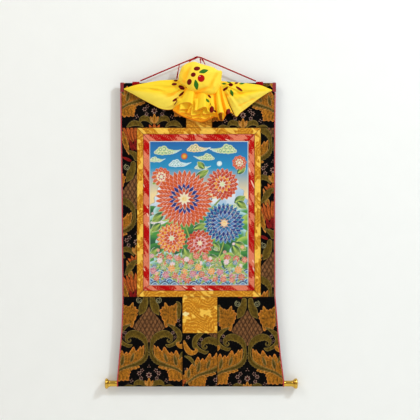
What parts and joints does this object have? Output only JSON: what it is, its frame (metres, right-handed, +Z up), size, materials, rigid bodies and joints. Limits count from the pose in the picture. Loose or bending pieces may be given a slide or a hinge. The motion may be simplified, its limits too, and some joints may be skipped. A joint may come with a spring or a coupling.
{
  "type": "thangka scroll painting with batten and roller",
  "caption": "Hanging scroll: a picture panel in crimson and gold borders on a dark brocade mount, with a gathered yellow silk veil, a cord, a batten and a roller with brass knobs.",
  "frame": {"origin": "the apex of the hanging cord, at its centre line, where it goes over the wall's nail or hook", "axes": "+X to the right of someone facing the picture, +Z up, the picture faces -Y and the wall is behind at +Y"},
  "size_m": [0.7928, 0.1076, 1.3631],
  "materials": {
    "painted cotton": "matt painted cotton, many colours",
    "crimson brocade": "crimson satin brocade with pale cloud figures",
    "gold brocade": "gold satin brocade with cloud scrolls",
    "black brocade": "black figured brocade, olive and gold leaves and lattice",
    "red binding": "plain red cotton binding",
    "wood": "plain oiled softwood",
    "brass": "polished turned brass",
    "red cord": "twisted red silk cord",
    "yellow silk": "thin glossy yellow silk printed with berries and leaves"
  },
  "bodies": {
    "root": {"painting": "painted cotton", "crimson_border_top": "crimson brocade", "crimson_border_bottom": "crimson brocade", "crimson_border_left": "crimson brocade", "crimson_border_right": "crimson brocade", "gold_border_top": "gold brocade", "gold_border_bottom": "gold brocade", "gold_border_left": "gold brocade", "gold_border_right": "gold brocade", "brocade_top_left": "black brocade", "gold_strip": "gold brocade", "brocade_top_right": "black brocade", "brocade_side_left": "black brocade", "brocade_side_right": "black brocade", "brocade_low_left": "black brocade", "brocade_low_middle": "black brocade", "brocade_low_right": "black brocade", "gold_door": "gold brocade", "edge_binding_left": "red binding", "edge_binding_right": "red binding", "batten": "wood", "batten_cover_left": "red binding", "batten_cover_right": "red binding", "roller": "wood", "knob_left": "brass", "knob_right": "brass", "lashing_left": "red cord", "lashing_right": "red cord", "hang_cord": "red cord", "tie_left": "red cord", "tie_middle": "red cord", "tie_right": "red cord", "drop_tie": "red cord", "veil": "yellow silk"}
  },
  "joints": []
}
